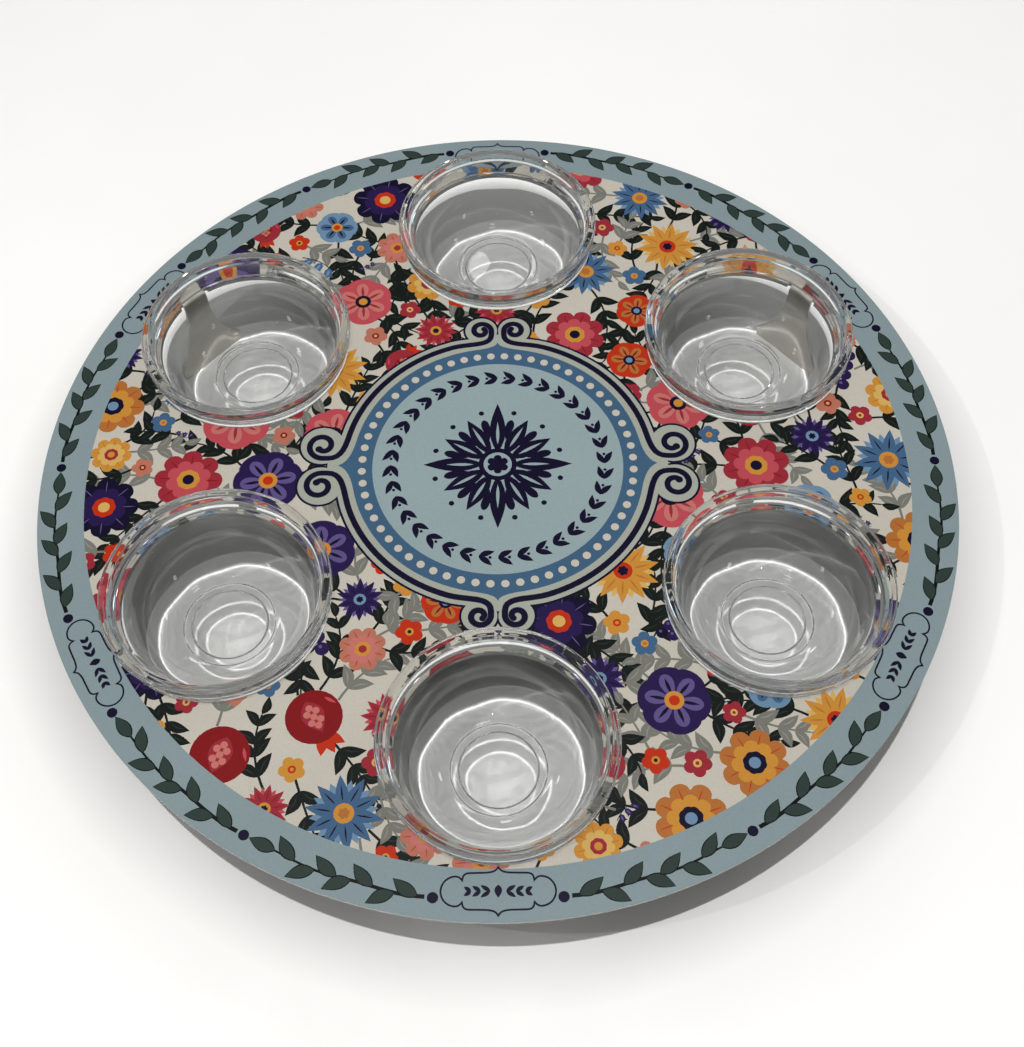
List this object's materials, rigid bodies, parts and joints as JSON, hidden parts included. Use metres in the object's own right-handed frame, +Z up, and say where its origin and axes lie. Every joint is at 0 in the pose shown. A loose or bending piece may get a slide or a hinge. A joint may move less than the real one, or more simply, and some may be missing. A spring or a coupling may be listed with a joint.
{
  "type": "seder plate",
  "caption": "Round printed sheet-metal seder plate on bent legs, with clear glass bowls hanging by their collars in a ring of holes; the bowls lift out.",
  "frame": {"origin": "on the table, under the plate's centre", "axes": "+Z up, -Y towards the front edge of the plate, +X to its right"},
  "size_m": [0.36, 0.36, 0.0575],
  "materials": {
    "sheet": "cream coated sheet steel, bare at the cut edge",
    "print": "satin printed film, floral on cream with a pale blue border",
    "glass": "clear pressed glass"
  },
  "bodies": {
    "plate": {"plate_sheet": "sheet", "printed_face": "print"},
    "bowl_back": {"bowl_back": "glass"},
    "bowl_back_right": {"bowl_back_right": "glass"},
    "bowl_front_right": {"bowl_front_right": "glass"},
    "bowl_front": {"bowl_front": "glass"},
    "bowl_front_left": {"bowl_front_left": "glass"},
    "bowl_back_left": {"bowl_back_left": "glass"}
  },
  "joints": [
    {"name": "bowl_back_lift", "type": "slide", "parent": "plate", "child": "bowl_back", "axis": [0, 0, 1], "range_m": [0, 0.05]},
    {"name": "bowl_back_right_lift", "type": "slide", "parent": "plate", "child": "bowl_back_right", "axis": [0, 0, 1], "range_m": [0, 0.05]},
    {"name": "bowl_front_right_lift", "type": "slide", "parent": "plate", "child": "bowl_front_right", "axis": [0, 0, 1], "range_m": [0, 0.05]},
    {"name": "bowl_front_lift", "type": "slide", "parent": "plate", "child": "bowl_front", "axis": [0, 0, 1], "range_m": [0, 0.05]},
    {"name": "bowl_front_left_lift", "type": "slide", "parent": "plate", "child": "bowl_front_left", "axis": [0, 0, 1], "range_m": [0, 0.05]},
    {"name": "bowl_back_left_lift", "type": "slide", "parent": "plate", "child": "bowl_back_left", "axis": [0, 0, 1], "range_m": [0, 0.05]}
  ]
}
